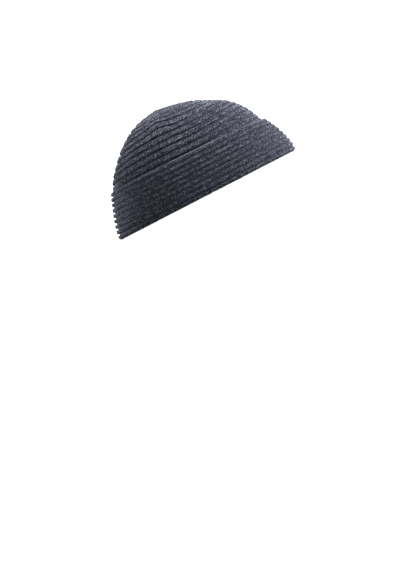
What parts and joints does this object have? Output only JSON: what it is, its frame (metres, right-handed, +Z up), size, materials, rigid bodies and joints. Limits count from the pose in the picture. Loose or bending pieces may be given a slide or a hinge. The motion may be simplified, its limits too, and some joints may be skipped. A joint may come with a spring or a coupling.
{
  "type": "knitted kufi cap with turned-up cuff",
  "caption": "Close knitted kufi cap, its domed crown worked in thick ribs parallel to the rim, with a deep turned-up cuff, standing on its rim.",
  "frame": {"origin": "middle of the rim, on the surface that the cap stands on", "axes": "+X to the forehead, +Y to the wearer's left, +Z up to the tip"},
  "size_m": [0.1982, 0.1686, 0.1002],
  "materials": {
    "wool_knit": "heathered charcoal wool blend, knitted, matt with a short soft nap"
  },
  "bodies": {
    "root": {"crown": "wool_knit", "cuff": "wool_knit"}
  },
  "joints": []
}
